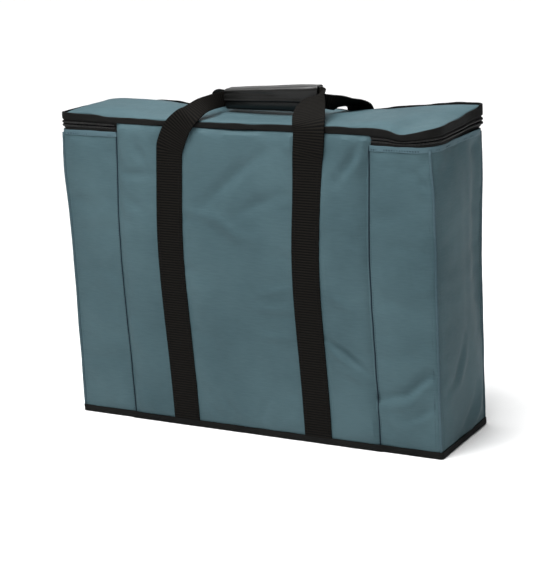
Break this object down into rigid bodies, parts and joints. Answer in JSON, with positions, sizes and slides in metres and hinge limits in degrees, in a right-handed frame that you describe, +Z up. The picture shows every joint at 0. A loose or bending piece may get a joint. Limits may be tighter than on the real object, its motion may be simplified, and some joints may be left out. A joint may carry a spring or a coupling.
{
  "type": "portfolio case",
  "caption": "Tall padded fabric portfolio case with a front-hinged zip lid and webbing carry handles joined by a wrap-round grip.",
  "frame": {"origin": "centre of the base, on the surface that the case stands on", "axes": "+Z up, +X along the width, -Y towards the front, where the lid is hinged"},
  "size_m": [0.5644, 0.1641, 0.4705],
  "materials": {
    "shell_fabric": "matt woven nylon",
    "base_fabric": "matt woven nylon",
    "padding_foam": "matt closed-cell foam",
    "lining_fabric": "matt plain weave",
    "stiff_board": "matt",
    "binding_tape": "matt ribbed tape",
    "zip_tape": "matt woven tape",
    "zip_coil": "satin nylon",
    "webbing": "matt ribbed webbing",
    "grip_vinyl": "semi-gloss grained vinyl",
    "hook_and_loop": "matt pile",
    "black_metal": "satin"
  },
  "bodies": {
    "case": {"front_left_panel": "shell_fabric", "front_right_panel": "shell_fabric", "front_center_panel": "shell_fabric", "back_panel": "shell_fabric", "left_end_panel": "shell_fabric", "right_end_panel": "shell_fabric", "base_panel": "base_fabric", "base_board": "stiff_board", "base_foam": "padding_foam", "base_lining": "lining_fabric", "front_center_foam": "padding_foam", "front_left_foam": "padding_foam", "front_right_foam": "padding_foam", "back_foam": "padding_foam", "left_end_foam": "padding_foam", "right_end_foam": "padding_foam", "front_lining": "lining_fabric", "back_lining": "lining_fabric", "left_end_lining": "lining_fabric", "right_end_lining": "lining_fabric", "rim_facing": "lining_fabric", "hinge_facing": "lining_fabric", "base_binding": "binding_tape", "front_left_seam": "shell_fabric", "front_right_seam": "shell_fabric", "back_left_seam": "shell_fabric", "back_right_seam": "shell_fabric", "zip_lower_tape": "zip_tape", "zip_lower_coil": "zip_coil", "front_strap_left": "webbing", "front_strap_right": "webbing", "back_strap_left": "webbing", "back_strap_right": "webbing"},
    "lid": {"lid_cover": "shell_fabric", "lid_foam": "padding_foam", "lid_lining": "lining_fabric", "lid_binding": "binding_tape", "zip_upper_tape": "zip_tape", "zip_upper_coil": "zip_coil"},
    "front_handle": {"front_riser_left": "webbing", "front_riser_right": "webbing", "front_handle_loop": "webbing", "grip_base": "grip_vinyl", "grip_base_foam": "padding_foam", "grip_tongue": "grip_vinyl", "grip_hook_strip": "hook_and_loop"},
    "grip_flap": {"grip_flap": "grip_vinyl", "grip_flap_foam": "padding_foam", "grip_loop_strip": "hook_and_loop"},
    "back_handle": {"back_riser_left": "webbing", "back_riser_right": "webbing", "back_handle_loop": "webbing"},
    "slider_left": {"zip_slider_left": "black_metal"},
    "slider_right": {"zip_slider_right": "black_metal"},
    "pull_left": {"zip_pull_left": "black_metal"},
    "pull_right": {"zip_pull_right": "black_metal"}
  },
  "joints": [
    {"name": "lid_hinge", "type": "hinge", "parent": "case", "child": "lid", "pos_m": [0, -0.077, 0.426], "axis": [1, 0, 0], "range_deg": [0, 150]},
    {"name": "front_handle_swing", "type": "hinge", "parent": "case", "child": "front_handle", "pos_m": [0, -0.0803, 0.385], "axis": [1, 0, 0], "range_deg": [0, 170], "deforming": ["front_handle_loop"]},
    {"name": "grip_flap_fold", "type": "hinge", "parent": "front_handle", "child": "grip_flap", "pos_m": [0.018, -0.013, 0.45136], "axis": [1, 0, 0], "range_deg": [0, 110]},
    {"name": "back_handle_swing", "type": "hinge", "parent": "case", "child": "back_handle", "pos_m": [0, 0.0803, 0.385], "axis": [-1, 0, 0], "range_deg": [0, 170], "deforming": ["back_handle_loop"]},
    {"name": "zip_slide_left", "type": "slide", "parent": "case", "child": "slider_left", "axis": [-1, 0, 0], "range_m": [0, 0.11]},
    {"name": "zip_slide_right", "type": "slide", "parent": "case", "child": "slider_right", "axis": [1, 0, 0], "range_m": [0, 0.11]},
    {"name": "zip_pull_swing_left", "type": "hinge", "parent": "slider_left", "child": "pull_left", "pos_m": [-0.011, 0.0825, 0.4198], "axis": [1, 0, 0], "range_deg": [0, 150]},
    {"name": "zip_pull_swing_right", "type": "hinge", "parent": "slider_right", "child": "pull_right", "pos_m": [0.011, 0.0825, 0.4198], "axis": [1, 0, 0], "range_deg": [0, 150]}
  ],
  "couplings": [
    {"joint": "front_handle_swing", "follows": "lid_hinge", "ratio": 1.1333},
    {"joint": "back_handle_swing", "follows": "lid_hinge", "ratio": 1.1333},
    {"joint": "grip_flap_fold", "follows": "lid_hinge", "ratio": 0.7333},
    {"joint": "zip_slide_left", "follows": "lid_hinge", "m_per_rad": 0.04201},
    {"joint": "zip_slide_right", "follows": "lid_hinge", "m_per_rad": 0.04201}
  ]
}
